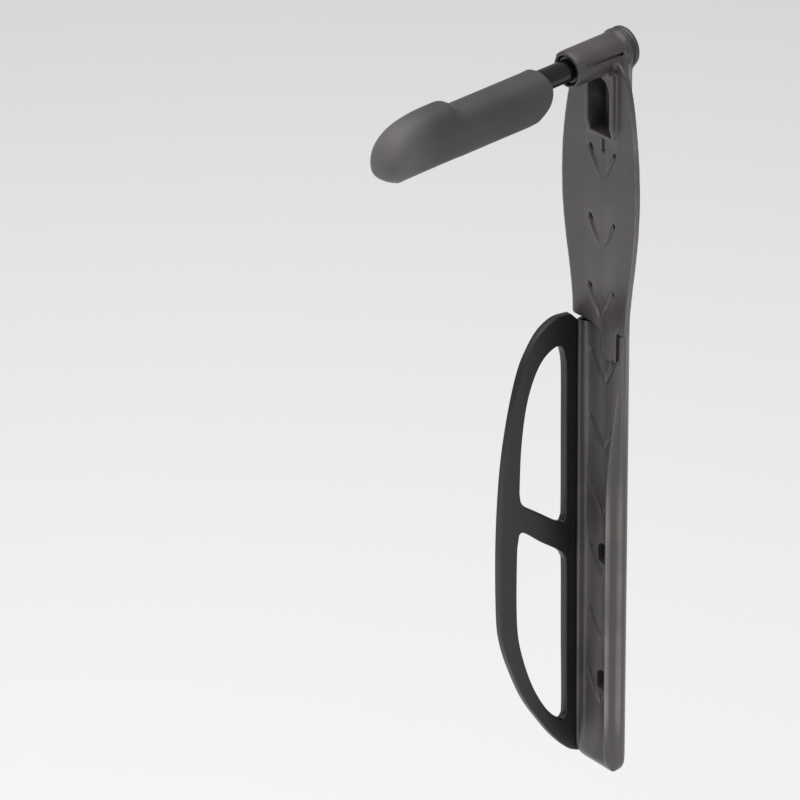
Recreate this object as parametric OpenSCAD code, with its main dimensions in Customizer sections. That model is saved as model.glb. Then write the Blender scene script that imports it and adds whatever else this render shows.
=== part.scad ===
// Bicycle wall rack: a padded hook above a slim tyre rail, with a steel
// lock loop along one side of the rail.
// Millimetres, +Z up, the wall is the plane Y = 0 and the rack stands out
// towards -Y. The origin is on the wall, midway between the top and the
// bottom wall screws.

/* [Overall] */
// height of the hook axis above the foot of the rail
hook_axis_h = 340; // [300:1:400]
// centre distance of the top and bottom wall screws
screw_pitch = 270; // [220:1:320]
// height of the bottom wall screw above the foot of the rail
screw_low_h = 44; // [38:1:55]
// height of the middle wall screw above the foot of the rail
screw_mid_h = 108; // [95:1:140]
// half width of the wall screw slots
slot_r = 2.25; // [2:0.05:2.75]
// length of the wall screw slots, end to end
slot_len = 9; // [6:0.5:12]

/* [Tyre rail] */
// length of the rail
rail_len = 218; // [190:1:260]
// half of the rail's outer width at the lips
rail_half_w = 11.5; // [10:0.5:16]
// how far the lips stand out from the wall
lip_y = 14.5; // [12:0.5:20]
// how far the bottom of the tyre groove stands out from the wall
groove_y = 9.8; // [8:0.1:12]
// how much the lip away from the loop spreads at the top
flare = 1.8; // [0:0.1:3]
// how far that lip drops back towards the wall at the top
lip_drop = 2; // [0:0.1:3]
// side wall thickness
wall_t = 2; // [1.6:0.1:3]
// rise of the groove's flanks for each millimetre away from the middle
flank = 0.12; // [0.05:0.01:0.3]

/* [Leaf head] */
// half of the leaf's greatest width
leaf_half_w = 21.8; // [17:0.1:28]
// thickness of the leaf
leaf_t = 2.4; // [2:0.1:4]
// how much the leaf stands in front of the groove
leaf_step = 1.6; // [1.2:0.1:2.4]
// half width across the two legs under the collar
neck_half_w = 8.4; // [7.5:0.1:11]

/* [Tread marks] */
// number of tread marks
marks = 9; // [5:1:11]
// distance from one tread mark to the next
mark_pitch = 31.5; // [28:0.5:40]
// depth of the tread marks
mark_deep = 0.7; // [0.4:0.1:1]

/* [Lock loop] */
// how far the loop stands out from the wall
loop_reach = 57.4; // [45:0.1:80]
// thickness of the loop's steel
loop_t = 3.5; // [2.5:0.1:5]
// thickness of the steel back plate
back_t = 2.5; // [2:0.1:4]

/* [Hook] */
// radius of the hook rod
rod_r = 4.5; // [4:0.1:6]
// length of the collar, from the wall
collar_len = 32; // [26:0.5:42]
// how far the hook's tip stands out from the wall
hook_reach = 130.5; // [100:0.5:180]
// length of the padded sleeve
sleeve_len = 85; // [65:0.5:120]
// half width of the sleeve
sleeve_r = 8.5; // [7:0.1:12]
// how far the sleeve's tip rises above its seat
tip_rise = 3.4; // [1:0.1:8]

// node to build, or "all"

/* [Hidden] */
$fn = 72;
eps = 0.01;
// height of the foot of the rail, and of the hook axis, from the origin
foot_z = -(screw_low_h + screw_pitch / 2);
axis_z = foot_z + hook_axis_h;
top_screw_h = screw_low_h + screw_pitch;
joint_h = rail_len;
head_len = hook_axis_h - rail_len;
leaf_y = groove_y + leaf_step;
floor_t = 2.2;
spine_half_w = rail_half_w - 2.5;
back_half_w = rail_half_w - 4.5;
plate_edge = back_half_w - 3;
// running and thrust clearances of the swivel
run_gap = 0.05;
end_gap = 0.1;
bush_t = 1.3;
bush_r = rod_r + bush_t;
collar_r = bush_r + 1.6;
hood_r = collar_r + 0.5;
mouth_r = bush_r + 0.7;
flange_r = mouth_r + 2.2;
lip_r = bush_r + 0.4;
nose_len = 4;
mouth_deep = 9;
bush_flange_t = 1.2;
bush_len = 8;
ring_t = 2;
washer_t = 1.2;
wave_t = 0.6;
stud_r = 3;
nut_t = 4.7;
nut_af = 10;
// tongue of the head on the groove's floor
tongue_w = rail_half_w - wall_t - 0.3;
tongue_x = -1.2;
tongue_len = 15;
tongue_fillet = 5;
// the stop ring and the front bush's flange sit inside the collar's end
front_deep = 4.6;
front_r = bush_r + 0.5;
// undercut below the collar's hood, rising towards the front
seam_up = 1.6;
seam_tilt = 4.5;
seam_w = 1.4;
seam_deep = 1.3;
seam_start = 7.4;
// rail screws and head screws
rail_screw_h = [24, 84, 168];
head_screw_h = [rail_len - 16, rail_len - 6];
screw_r = 1.6;
boss_r = 3.3;
sink_t = 1.5;

// rounding of the foot, and the scooped end of the groove
foot_in = 6;
// the free lip stands in from the rail's edge, above a sloping shoulder, and
// leans out over the top third of the rail
lip_x = rail_half_w - 4.5;
lip_w = 1.3;
shoulder_y = groove_y + 1.1;
lean_h = 0.62 * rail_len;
lip_lean = 4;
foot_h = 12;
scoop_h = 26;
screw_boss = 5.6;
fin_x = -rail_half_w;
arm_half = 7.2;
arm_rise = 14.5;
arm_w = 2.4;

colours = [
    [0.27, 0.26, 0.25],
    [0.06, 0.06, 0.06],
    [0.2, 0.2, 0.2],
    [0.7, 0.7, 0.72],
    [0.85, 0.83, 0.78]
];

// list of the separate pieces

// point on a smooth curve through p1 and p2, with p0 and p3 beyond them
function bend(p0, p1, p2, p3, t) =
    0.5 * (2 * p1 + (p2 - p0) * t
    + (2 * p0 - 5 * p1 + 4 * p2 - p3) * t * t
    + (3 * p1 - p0 - 3 * p2 + p3) * t * t * t);

// closed smooth curve through a list of points, n steps for each span
function ring(p, n) =
    let (c = len(p))
    [for (i = [0:c - 1]) for (k = [0:n - 1])
        bend(p[(i + c - 1) % c], p[i], p[(i + 1) % c], p[(i + 2) % c], k / n)];

// open smooth curve through a list of points
function run(p, n) =
    let (c = len(p))
    [for (i = [0:c - 2]) for (k = [0:n - (i < c - 2 ? 1 : 0)])
        bend(p[max(i - 1, 0)], p[i], p[i + 1], p[min(i + 2, c - 1)], k / n)];

// moves a piece drawn from the foot of the rail to the origin
module from_foot() {
    translate([0, 0, foot_z])
        children();
}

// a 2D shape drawn in X and Z, given thickness from y0 out to y1
module slab_y(y0, y1) {
    translate([0, -y0, 0])
        rotate([90, 0, 0])
            linear_extrude(y1 - y0)
                children();
}

// a 2D shape drawn in Y and Z, given thickness from x0 to x1
module slab_x(x0, x1) {
    translate([x0, 0, 0])
        rotate([90, 0, 90])
            linear_extrude(x1 - x0)
                children();
}

// a round bar along Y from y0 out to y1, at height h above the foot
module bar_y(r, y0, y1, x, h) {
    translate([x, -y0, h])
        rotate([90, 0, 0])
            cylinder(r = r, h = y1 - y0);
}

// a cone along Y, radius ra at y0 and rb at y1
module cone_y(ra, rb, y0, y1, x, h) {
    translate([x, -y0, h])
        rotate([90, 0, 0])
            cylinder(r1 = ra, r2 = rb, h = y1 - y0);
}

// shallow V section, X across and Y out of the wall, middle at y
module vee(half_w, y, t) {
    polygon([
        [-half_w, -y - flank * half_w],
        [0, -y],
        [half_w, -y - flank * half_w],
        [half_w, -y - flank * half_w + t],
        [0, -y + t],
        [-half_w, -y - flank * half_w + t]
    ]);
}

// one V mark, its middle at height h, cut into a surface at y
module tread_mark(h, y) {
    lean = atan(flank);
    for (side = [-1, 1])
        translate([0, -y, h])
            rotate([0, 0, -side * lean])
                slab_y(-mark_deep, 4)
                    polygon([
                        [side * 0.6, -arm_rise / 2],
                        [side * 0.6, -arm_rise / 2 + arm_w * 1.9],
                        [side * arm_half, arm_rise / 2 + arm_w],
                        [side * arm_half, arm_rise / 2]
                    ]);
}

function mark_h(i) = top_screw_h - 23.5 - i * mark_pitch;

// how far the free lip has spread or dropped at height h, from 0 to 1
function ease(h) =
    let (t = min(max((h / rail_len - 0.62) / 0.38, 0), 1))
    t * t * (3 - 2 * t);

// outline of the rail from the front: rounded foot, one side straight and
// the other spreading towards the top
module rail_face(half_w, low, high, spread) {
    r = half_w * 0.6;
    polygon(concat(
        [[-half_w, high], [-half_w, low + r]],
        [[half_w, low + r]],
        [for (k = [0:14])
            let (h = rail_len * (0.62 + 0.38 * k / 14))
            [half_w + spread * ease(h), k == 14 ? high : h]]
    ));
    translate([-half_w + r, low])
        square([2 * (half_w - r), r + 1]);
    for (side = [-1, 1])
        translate([side * (half_w - r), low + r])
            circle(r);
}

// side view of the rail: the lip drops back by drop at the top, and the
// foot is rounded back to the wall
module rail_side(drop) {
    polygon(concat(
        [[-back_t, 0], [-back_t, rail_len]],
        [for (k = [14:-1:0])
            let (h = rail_len * (0.62 + 0.38 * k / 14))
            [-lip_y + drop * ease(h), h]],
        [for (a = [0:9:81])
            [-lip_y + foot_in * (1 - cos(a)), foot_h * (1 - sin(a))]]
    ));
}

// everything on the groove's side of a plane through the free lip
module inside_lip(x) {
    translate([x - 60, -60, -1])
        cube([60, 100, lean_h + 1]);
    translate([x, -60, lean_h])
        rotate([0, lip_lean, 0])
            translate([-60, 0, -5])
                cube([60, 100, rail_len]);
}

// wedge taken off outside the free lip, leaving the sloping shoulder
module shoulder_wedge() {
    slope = (lip_y - shoulder_y) / (rail_half_w - lip_x);
    polygon([
        [0, -lip_y - 3], [0, -lip_y],
        [20, -lip_y + 20 * slope], [20, -lip_y - 3]
    ]);
}

module shoulder_cut() {
    translate([lip_x, 0, -1])
        linear_extrude(lean_h + 1)
            shoulder_wedge();
    translate([lip_x, 0, lean_h])
        rotate([0, lip_lean, 0])
            linear_extrude(rail_len)
                shoulder_wedge();
}

// section of the rail's outside, tapering back towards the wall
module rail_outside() {
    w = rail_half_w + flare;
    polygon([
        [-rail_half_w, -lip_y - 1], [w, -lip_y - 1], [w, -lip_y / 2 - 1],
        [rail_half_w, -lip_y / 2], [back_half_w, -back_t],
        [-rail_half_w + 2, -back_t], [-rail_half_w, -lip_y / 2]
    ]);
}

// section of the hollow behind the groove's floor
module rail_hollow() {
    w = rail_half_w - wall_t;
    back = groove_y - floor_t;
    polygon([
        [-w, -back - flank * w], [0, -back], [w, -back - flank * w],
        [w, -lip_y / 2], [back_half_w - wall_t, -back_t + 1],
        [-w + 2, -back_t + 1], [-w, -lip_y / 2]
    ]);
}

// section of the tyre groove, wider than the rail
module rail_groove() {
    w = rail_half_w + flare;
    polygon([
        [-w, -groove_y - flank * w], [0, -groove_y],
        [w, -groove_y - flank * w], [w, -lip_y - 2], [-w, -lip_y - 2]
    ]);
}

// scooped end of the groove at the foot, rising to the lips
module foot_scoop() {
    slab_x(-rail_half_w, rail_half_w)
        polygon(concat(
            [[-groove_y + 1, scoop_h], [-groove_y + 1, -1],
                [-lip_y - 2, -1]],
            [for (k = [10:-1:0])
                [-groove_y - (lip_y - groove_y - 0.4) * pow(k / 10, 2),
                    scoop_h * (1 - k / 10 * 0.9)]]
        ));
}

// upright slot for a wall screw, from y0 out to y1
module wall_hole(h, y0, y1) {
    rise = slot_len / 2 - slot_r;
    slab_y(y0, y1) {
        for (end = [-1, 1])
            translate([0, h + end * rise])
                circle(slot_r);
        translate([-slot_r, h - rise])
            square([2 * slot_r, 2 * rise]);
    }
}

module tyre_rail() {
    color(colours[0])
        from_foot()
            difference() {
                intersection() {
                    linear_extrude(rail_len)
                        rail_outside();
                    union() {
                        slab_x(-40, 0)
                            rail_side(0);
                        slab_x(-eps, 40)
                            rail_side(lip_drop);
                    }
                    slab_y(0, 40)
                        rail_face(rail_half_w, 0, rail_len, flare);
                }
                rail_cuts();
                shoulder_cut();
                intersection() {
                    union() {
                        for (i = [0:marks - 1])
                            if (mark_h(i) < rail_len - arm_rise - 6)
                                tread_mark(mark_h(i), groove_y);
                    }
                    inside_lip(lip_x - lip_w);
                }
                for (h = [screw_low_h, screw_mid_h])
                    wall_hole(h, 0, 40);
                for (h = rail_screw_h)
                    bar_y(screw_r, 0, groove_y - 1.6, 0, h);
            }
}

// everything taken out of the rail except holes and marks
module rail_cuts() {
    w = rail_half_w - wall_t;
    difference() {
        intersection() {
            translate([0, 0, -1])
                linear_extrude(rail_len + 2)
                    rail_groove();
            slab_y(0, 40)
                rail_face(w, wall_t, rail_len + 2, flare);
            inside_lip(lip_x - lip_w);
        }
        foot_scoop();
    }
    difference() {
        intersection() {
            translate([0, 0, wall_t + 1])
                linear_extrude(rail_len)
                    rail_hollow();
            slab_y(-1, 40)
                rail_face(w, wall_t, rail_len + 2, 0);
        }
        rail_bosses();
    }
}

// bosses and stiffening ribs in the hollow of the rail
module rail_bosses() {
    for (h = rail_screw_h)
        bar_y(boss_r, back_t, lip_y, 0, h);
    for (h = [screw_low_h, screw_mid_h])
        translate([-screw_boss, -lip_y, h - screw_boss])
            cube([2 * screw_boss, lip_y - back_t, 2 * screw_boss]);
    for (h = [10, 64, 140])
        translate([-rail_half_w, -lip_y, h])
            cube([2 * rail_half_w, lip_y - back_t, 1.6]);
}

// outline of the leaf from the front, without the tongue
module leaf_face() {
    s = leaf_half_w;
    l = head_len;
    side = run([
        [0.73 * s, 0], [0.745 * s, 0.08 * l], [0.81 * s, 0.18 * l],
        [0.9 * s, 0.29 * l], [0.975 * s, 0.41 * l], [s, 0.53 * l],
        [0.975 * s, 0.65 * l], [0.9 * s, 0.77 * l], [0.79 * s, 0.88 * l],
        [0.66 * s, 0.95 * l], [0.45 * s, 0.99 * l]
    ], 5);
    n = len(side);
    translate([0, joint_h])
        polygon(concat(
            side, [for (i = [n - 1:-1:0]) [-side[i][0], side[i][1]]]
        ));
}

// outline of the tongue from the front: it hangs below the leaf on the side
// of the free lip and is filleted into the leaf on the other side
module tongue_face() {
    low = joint_h - tongue_len;
    r = 3;
    difference() {
        translate([-tongue_w, joint_h - tongue_fillet])
            square([2 * tongue_w, tongue_fillet + 2]);
        translate([-tongue_w - 1, joint_h - tongue_fillet - 1])
            square([tongue_w + 1 + tongue_x - tongue_fillet,
                tongue_fillet + 1]);
        translate([tongue_x - tongue_fillet, joint_h - tongue_fillet])
            circle(tongue_fillet);
    }
    translate([tongue_x, low + r])
        square([tongue_w - tongue_x, tongue_len - r]);
    translate([tongue_x + r, low])
        square([tongue_w - tongue_x - 2 * r, r + 1]);
    for (x = [tongue_x + r, tongue_w - r])
        translate([x, low + r])
            circle(r);
}

// side view of the two legs that run down from the collar
module neck_side() {
    low = hook_axis_h - collar_r;
    polygon([
        [-6, hook_axis_h - 5], [-leaf_y - 4.2, hook_axis_h - 5],
        [-leaf_y - 3.6, low], [-leaf_y - 3.3, low - 22],
        [-leaf_y - 1.1, low - 29], [-6, low - 29]
    ]);
}

// slanted slab whose top follows the hood's lower edge
module under_hood(x0, x1, tall) {
    translate([x0, 0, hook_axis_h + seam_up])
        rotate([-seam_tilt, 0, 0])
            translate([0, -60, -tall])
                cube([x1 - x0, 60 - seam_start, tall]);
}

// round bar from y0 to the collar's front end, narrower at its nose
module nosed_bar(r, y0) {
    bar_y(r, y0, collar_len - nose_len, 0, hook_axis_h);
    cone_y(r, r - 0.2, collar_len - nose_len, collar_len - nose_len * 0.6, 0,
        hook_axis_h);
    cone_y(r - 0.2, r - 0.5, collar_len - nose_len * 0.6, collar_len, 0,
        hook_axis_h);
}

// section of the spine, narrowing over its last 7 mm to the wall
module spine(half_w, y, through) {
    polygon([
        [-half_w, -y], [half_w, -y], [half_w, -7],
        [half_w - 4.5, through], [4.5 - half_w, through], [-half_w, -7]
    ]);
}

// upper half of the collar, wider than its lower half
module hood() {
    difference() {
        nosed_bar(hood_r, 3);
        under_hood(-20, 20, 40);
        translate([-20, -seam_start - 0.2, hook_axis_h - 20])
            cube([40, 20, 20 + seam_up]);
    }
}

// raised rim at the wall end of the collar, with a groove round it
module flange() {
    bar_y(flange_r, 0, 2.4, 0, hook_axis_h);
    bar_y(flange_r - 1.1, 2.4, 3.4, 0, hook_axis_h);
    bar_y(flange_r, 3.4, 5, 0, hook_axis_h);
    cone_y(flange_r, collar_r, 5, 7.4, 0, hook_axis_h);
}

// recess under the collar where the top wall screw sits, round at its top
module screw_recess(half_w, low, high, y0) {
    slab_y(y0, 60) {
        translate([-half_w, low])
            square([2 * half_w, high - half_w - low]);
        translate([0, high - half_w])
            circle(half_w);
    }
}

module leaf_head() {
    spine_top = hook_axis_h - 2;
    recess_half = neck_half_w - 2.4;
    spigot_top = groove_y - floor_t - 0.2;
    spigot_half = back_half_w - wall_t + 0.2;
    color(colours[0])
        from_foot()
            difference() {
                union() {
                    // leaf
                    intersection() {
                        slab_y(0, 40)
                            leaf_face();
                        translate([0, 0, joint_h])
                            linear_extrude(head_len)
                                vee(leaf_half_w + 1, leaf_y, leaf_t);
                    }
                    // tongue lying on the rail's groove
                    intersection() {
                        translate([0, 0, joint_h - tongue_len])
                            linear_extrude(tongue_len + 2)
                                vee(tongue_w, leaf_y, leaf_step);
                        slab_y(0, 40)
                            tongue_face();
                    }
                    // hollow spine behind the leaf, narrower at the wall
                    difference() {
                        translate([0, 0, joint_h])
                            linear_extrude(spine_top - joint_h)
                                spine(spine_half_w, leaf_y - 1, 0);
                        translate([0, 0, joint_h + 4])
                            linear_extrude(head_len - 62)
                                spine(spine_half_w - wall_t, leaf_y - 2.2, 1);
                    }
                    // stiffening rib across the hollow
                    translate([0, 0, joint_h + 32])
                        linear_extrude(wall_t)
                            spine(spine_half_w, leaf_y - 2, 0);
                    // spigot inside the top of the rail
                    translate([-spigot_half, -spigot_top, joint_h - 22])
                        cube([2 * spigot_half, spigot_top - back_t, 24]);
                    // legs and collar
                    slab_x(-neck_half_w, neck_half_w)
                        neck_side();
                    nosed_bar(collar_r, 0);
                    hood();
                    flange();
                }
                // seam below both edges of the hood
                under_hood(collar_r - seam_deep, 20, seam_w);
                under_hood(-20, seam_deep - collar_r, seam_w);
                // collar bore, open mouth and sunk front end
                bar_y(bush_r, -1, 60, 0, hook_axis_h);
                bar_y(mouth_r, -1, mouth_deep, 0, hook_axis_h);
                bar_y(front_r, collar_len - front_deep, 60, 0, hook_axis_h);
                // recess and hole for the top wall screw
                screw_recess(recess_half, top_screw_h - 8,
                    hook_axis_h - collar_r - 0.6, 4);
                wall_hole(top_screw_h, -1, 6);
                translate([-0.8, -leaf_y - 1, top_screw_h - 17])
                    cube([1.6, 2.2, 7]);
                for (i = [0:marks - 1])
                    if (mark_h(i) >= rail_len - arm_rise - 6)
                        tread_mark(mark_h(i), leaf_y);
                for (h = head_screw_h)
                    bar_y(screw_r, 0, spigot_top - 0.4, 0, h);
            }
}

// outline of the loop, seen from the side
module loop_outline() {
    s = loop_reach;
    l = rail_len;
    polygon(concat(
        [[-0.03 * s, 0.014 * l], [-0.03 * s, 0.985 * l],
            [-0.2 * s, 0.985 * l]],
        run([
            [-0.3 * s, 1.013 * l], [-0.45 * s, 1.018 * l],
            [-0.59 * s, 1.004 * l], [-0.7 * s, 0.973 * l],
            [-0.79 * s, 0.93 * l], [-0.885 * s, 0.843 * l],
            [-0.96 * s, 0.73 * l], [-s, 0.58 * l], [-s, 0.42 * l],
            [-0.97 * s, 0.352 * l], [-0.89 * s, 0.283 * l],
            [-0.76 * s, 0.2 * l], [-0.61 * s, 0.133 * l],
            [-0.47 * s, 0.078 * l], [-0.32 * s, 0.032 * l],
            [-0.2 * s, 0.012 * l]
        ], 5)
    ));
}

// upper opening of the loop
module upper_window() {
    s = loop_reach;
    l = rail_len;
    polygon(ring([
        [-0.366 * s, 0.925 * l], [-0.356 * s, 0.88 * l],
        [-0.356 * s, 0.75 * l], [-0.356 * s, 0.6 * l],
        [-0.366 * s, 0.572 * l], [-0.41 * s, 0.568 * l],
        [-0.6 * s, 0.608 * l], [-0.76 * s, 0.643 * l],
        [-0.8 * s, 0.665 * l], [-0.803 * s, 0.7 * l],
        [-0.785 * s, 0.78 * l], [-0.74 * s, 0.855 * l],
        [-0.67 * s, 0.908 * l], [-0.58 * s, 0.942 * l],
        [-0.47 * s, 0.957 * l], [-0.4 * s, 0.952 * l]
    ], 5));
}

// lower opening of the loop
module lower_window() {
    s = loop_reach;
    l = rail_len;
    polygon(ring([
        [-0.366 * s, 0.485 * l], [-0.352 * s, 0.455 * l],
        [-0.35 * s, 0.3 * l], [-0.345 * s, 0.14 * l],
        [-0.36 * s, 0.112 * l], [-0.41 * s, 0.114 * l],
        [-0.54 * s, 0.153 * l], [-0.67 * s, 0.217 * l],
        [-0.765 * s, 0.288 * l], [-0.822 * s, 0.353 * l],
        [-0.838 * s, 0.42 * l], [-0.834 * s, 0.52 * l],
        [-0.822 * s, 0.568 * l], [-0.78 * s, 0.586 * l],
        [-0.6 * s, 0.545 * l], [-0.43 * s, 0.508 * l]
    ], 5));
}

module lock_bracket() {
    color(colours[1])
        from_foot()
            difference() {
                union() {
                    slab_x(fin_x - loop_t, fin_x)
                        difference() {
                            loop_outline();
                            upper_window();
                            lower_window();
                        }
                    translate([fin_x - loop_t, -back_t, 0.014 * rail_len])
                        cube([loop_t - fin_x + plate_edge, back_t,
                            0.971 * rail_len]);
                }
                for (h = [screw_low_h, screw_mid_h])
                    wall_hole(h, -1, 6);
                for (h = concat(rail_screw_h, head_screw_h))
                    screw_seat(h);
            }
}

// countersunk seat for a screw put in from the back
module screw_seat(h) {
    bar_y(screw_r, -1, 6, 0, h);
    cone_y(screw_r + sink_t, screw_r, 0, sink_t, 0, h);
}

// countersunk screw along Y, its head flush with the back plate
module sunk_screw(h, deep) {
    difference() {
        union() {
            cone_y(screw_r + sink_t, screw_r, 0, sink_t, 0, h);
            bar_y(screw_r, sink_t - eps, deep, 0, h);
        }
        translate([0, 0, h])
            cube([0.7, 1.2, 2.6], center = true);
        translate([0, 0, h])
            cube([2.6, 1.2, 0.7], center = true);
    }
}

module rail_screws() {
    color(colours[3])
        from_foot()
            for (h = rail_screw_h)
                sunk_screw(h, groove_y - 2.2);
}

module head_screws() {
    color(colours[3])
        from_foot()
            for (h = head_screw_h)
                sunk_screw(h, groove_y - floor_t - 0.9);
}

module hook_rod() {
    shoulder = mouth_deep - bush_flange_t - end_gap;
    color(colours[1])
        from_foot()
            difference() {
                union() {
                    bar_y(rod_r, shoulder, hook_reach - 12, 0, hook_axis_h);
                    cone_y(rod_r, rod_r - 1.5, hook_reach - 12,
                        hook_reach - 10.5, 0, hook_axis_h);
                    bar_y(stud_r, 0.8, shoulder + eps, 0, hook_axis_h);
                }
                pin_shape();
            }
}

// cross pin that keys the sleeve to the rod
module pin_shape() {
    translate([-6, -(hook_reach - 24), hook_axis_h])
        rotate([0, 90, 0])
            cylinder(r = 1.25, h = 12);
}

module sleeve_pin() {
    color(colours[3])
        from_foot()
            pin_shape();
}

// section of the sleeve: round top and round bottom, flat sides between
module sleeve_section(rise) {
    top = hook_axis_h + rod_r + 0.8 + rise - sleeve_r;
    low = hook_axis_h - rod_r - 2.6;
    translate([0, top])
        circle(sleeve_r);
    translate([0, low])
        circle(sleeve_r);
    translate([-sleeve_r, low])
        square([2 * sleeve_r, top - low]);
}

// side view of the sleeve
module sleeve_side() {
    y0 = hook_reach - sleeve_len;
    top = hook_axis_h + rod_r + 0.8;
    low = hook_axis_h - rod_r - 2.6 - sleeve_r;
    y1 = hook_reach;
    polygon(concat(
        [[-y0 - 0.5, low + 9], [-y0, hook_axis_h - 2], [-y0 - 0.8, top - 1.2],
            [-y0 - 2.4, top], [-y1 + 40, top]],
        run([[-y1 + 38.5, top + 0.4], [-y1 + 36, top + tip_rise * 0.75],
            [-y1 + 32, top + tip_rise], [-y1 + 20, top + tip_rise * 0.9],
            [-y1 + 10, top + tip_rise * 0.2], [-y1 + 4, top - 4.5],
            [-y1 + 0.8, top - 10.5], [-y1, top - 15.5],
            [-y1 + 1.6, low + 2.8], [-y1 + 6, low + 0.4],
            [-y1 + 11, low]], 5),
        [[-y0 - 9, low]],
        run([[-y0 - 6, low + 0.8], [-y0 - 2.8, low + 3.6]], 3)
    ));
}

module hook_sleeve() {
    y1 = hook_reach;
    color(colours[2])
        from_foot()
            difference() {
                intersection() {
                    slab_x(-20, 20)
                        sleeve_side();
                    union() {
                        slab_y(y1 - sleeve_len - 1, y1 - 35)
                            sleeve_section(0);
                        slab_y(y1 - 39, y1 + 1)
                            sleeve_section(tip_rise);
                    }
                    translate([0, 0, hook_axis_h - 60])
                        linear_extrude(120) {
                            translate([0, -y1 + sleeve_r])
                                circle(sleeve_r);
                            translate([-sleeve_r, -y1 + sleeve_r])
                                square([2 * sleeve_r, sleeve_len]);
                        }
                }
                bar_y(rod_r, 0, y1 - 12, 0, hook_axis_h);
                cone_y(rod_r, rod_r - 1.5, y1 - 12, y1 - 10.5, 0, hook_axis_h);
                pin_shape();
            }
}

// a plain ring along Y
module ring_y(ro, ri, y0, y1) {
    difference() {
        bar_y(ro, y0, y1, 0, hook_axis_h);
        bar_y(ri, y0 - 1, y1 + 1, 0, hook_axis_h);
    }
}

module stop_ring() {
    y0 = collar_len - front_deep + bush_flange_t + end_gap;
    color(colours[1])
        from_foot()
            ring_y(bush_r + 0.1, rod_r, y0, y0 + ring_t);
}

module front_bush() {
    y0 = collar_len - front_deep;
    color(colours[4])
        from_foot()
            difference() {
                union() {
                    bar_y(lip_r, y0, y0 + bush_flange_t, 0,
                        hook_axis_h);
                    bar_y(bush_r, y0 - bush_len, y0, 0, hook_axis_h);
                }
                bar_y(rod_r + run_gap, 0, 60, 0, hook_axis_h);
            }
}

module rear_bush() {
    color(colours[4])
        from_foot()
            difference() {
                union() {
                    bar_y(lip_r, mouth_deep - bush_flange_t, mouth_deep, 0,
                        hook_axis_h);
                    bar_y(bush_r, mouth_deep, mouth_deep + bush_len, 0,
                        hook_axis_h);
                }
                bar_y(rod_r + run_gap, 0, 60, 0, hook_axis_h);
            }
}

module rear_washer() {
    y1 = mouth_deep - bush_flange_t - end_gap;
    color(colours[3])
        from_foot()
            ring_y(bush_r + 0.3, stud_r, y1 - washer_t, y1);
}

module wave_washer() {
    y1 = mouth_deep - bush_flange_t - end_gap - washer_t;
    color(colours[3])
        from_foot()
            ring_y(bush_r - 0.3, stud_r, y1 - wave_t, y1);
}

module lock_nut() {
    y1 = mouth_deep - bush_flange_t - end_gap - washer_t - wave_t;
    color(colours[3])
        from_foot()
            difference() {
                translate([0, -y1 + nut_t, hook_axis_h])
                    rotate([90, 0, 0])
                        cylinder(r = nut_af / sqrt(3), h = nut_t, $fn = 6);
                bar_y(stud_r, -1, 20, 0, hook_axis_h);
            }
}

tyre_rail();
leaf_head();
lock_bracket();
rail_screws();
head_screws();
hook_rod();
hook_sleeve();
sleeve_pin();
stop_ring();
front_bush();
rear_bush();
rear_washer();
wave_washer();
lock_nut();
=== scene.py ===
"""Looks for a bicycle wall rack: leaf head, tyre rail, lock loop and padded hook.

Lengths are in millimetres until a mesh is made. X runs across the wall, the wall is
y = 0 and the rack stands out towards -Y. Heights are measured from the foot of the rail.
"""

from __future__ import annotations

import logging
import math
from dataclasses import dataclass, field
from enum import Enum
from typing import Any

import bpy
import numpy as np
from mathutils import Matrix, Vector

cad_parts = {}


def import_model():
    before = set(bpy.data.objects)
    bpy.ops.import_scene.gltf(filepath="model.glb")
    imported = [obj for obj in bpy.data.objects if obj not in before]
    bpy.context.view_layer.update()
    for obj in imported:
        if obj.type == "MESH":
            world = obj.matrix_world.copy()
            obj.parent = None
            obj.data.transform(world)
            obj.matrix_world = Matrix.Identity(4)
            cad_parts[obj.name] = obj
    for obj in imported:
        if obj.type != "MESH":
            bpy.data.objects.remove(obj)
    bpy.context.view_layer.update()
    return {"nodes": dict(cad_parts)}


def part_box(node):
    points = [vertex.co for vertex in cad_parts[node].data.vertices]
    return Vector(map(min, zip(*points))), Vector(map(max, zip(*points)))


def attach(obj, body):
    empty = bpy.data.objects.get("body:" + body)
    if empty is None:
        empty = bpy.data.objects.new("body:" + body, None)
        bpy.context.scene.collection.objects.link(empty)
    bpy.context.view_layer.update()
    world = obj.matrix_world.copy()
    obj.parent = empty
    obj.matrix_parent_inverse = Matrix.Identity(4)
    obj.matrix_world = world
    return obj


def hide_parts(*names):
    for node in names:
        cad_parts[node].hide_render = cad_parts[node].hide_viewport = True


LOG = logging.getLogger("bicycle_wall_rack")
MM = 0.001
Array = np.ndarray


# ---------------------------------------------------------------- curves and fields


def smooth_step(low: float, high: float, value: Array) -> Array:
    """Rise from 0 at low to 1 at high along the cubic 3t^2 - 2t^3.

    Args:
        low: Value where the rise starts.
        high: Value where it ends.
        value: Numbers to map.

    Returns:
        The mapped numbers.
    """
    t = np.clip((value - low) / (high - low), 0.0, 1.0)
    return t * t * (3.0 - 2.0 * t)


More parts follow.
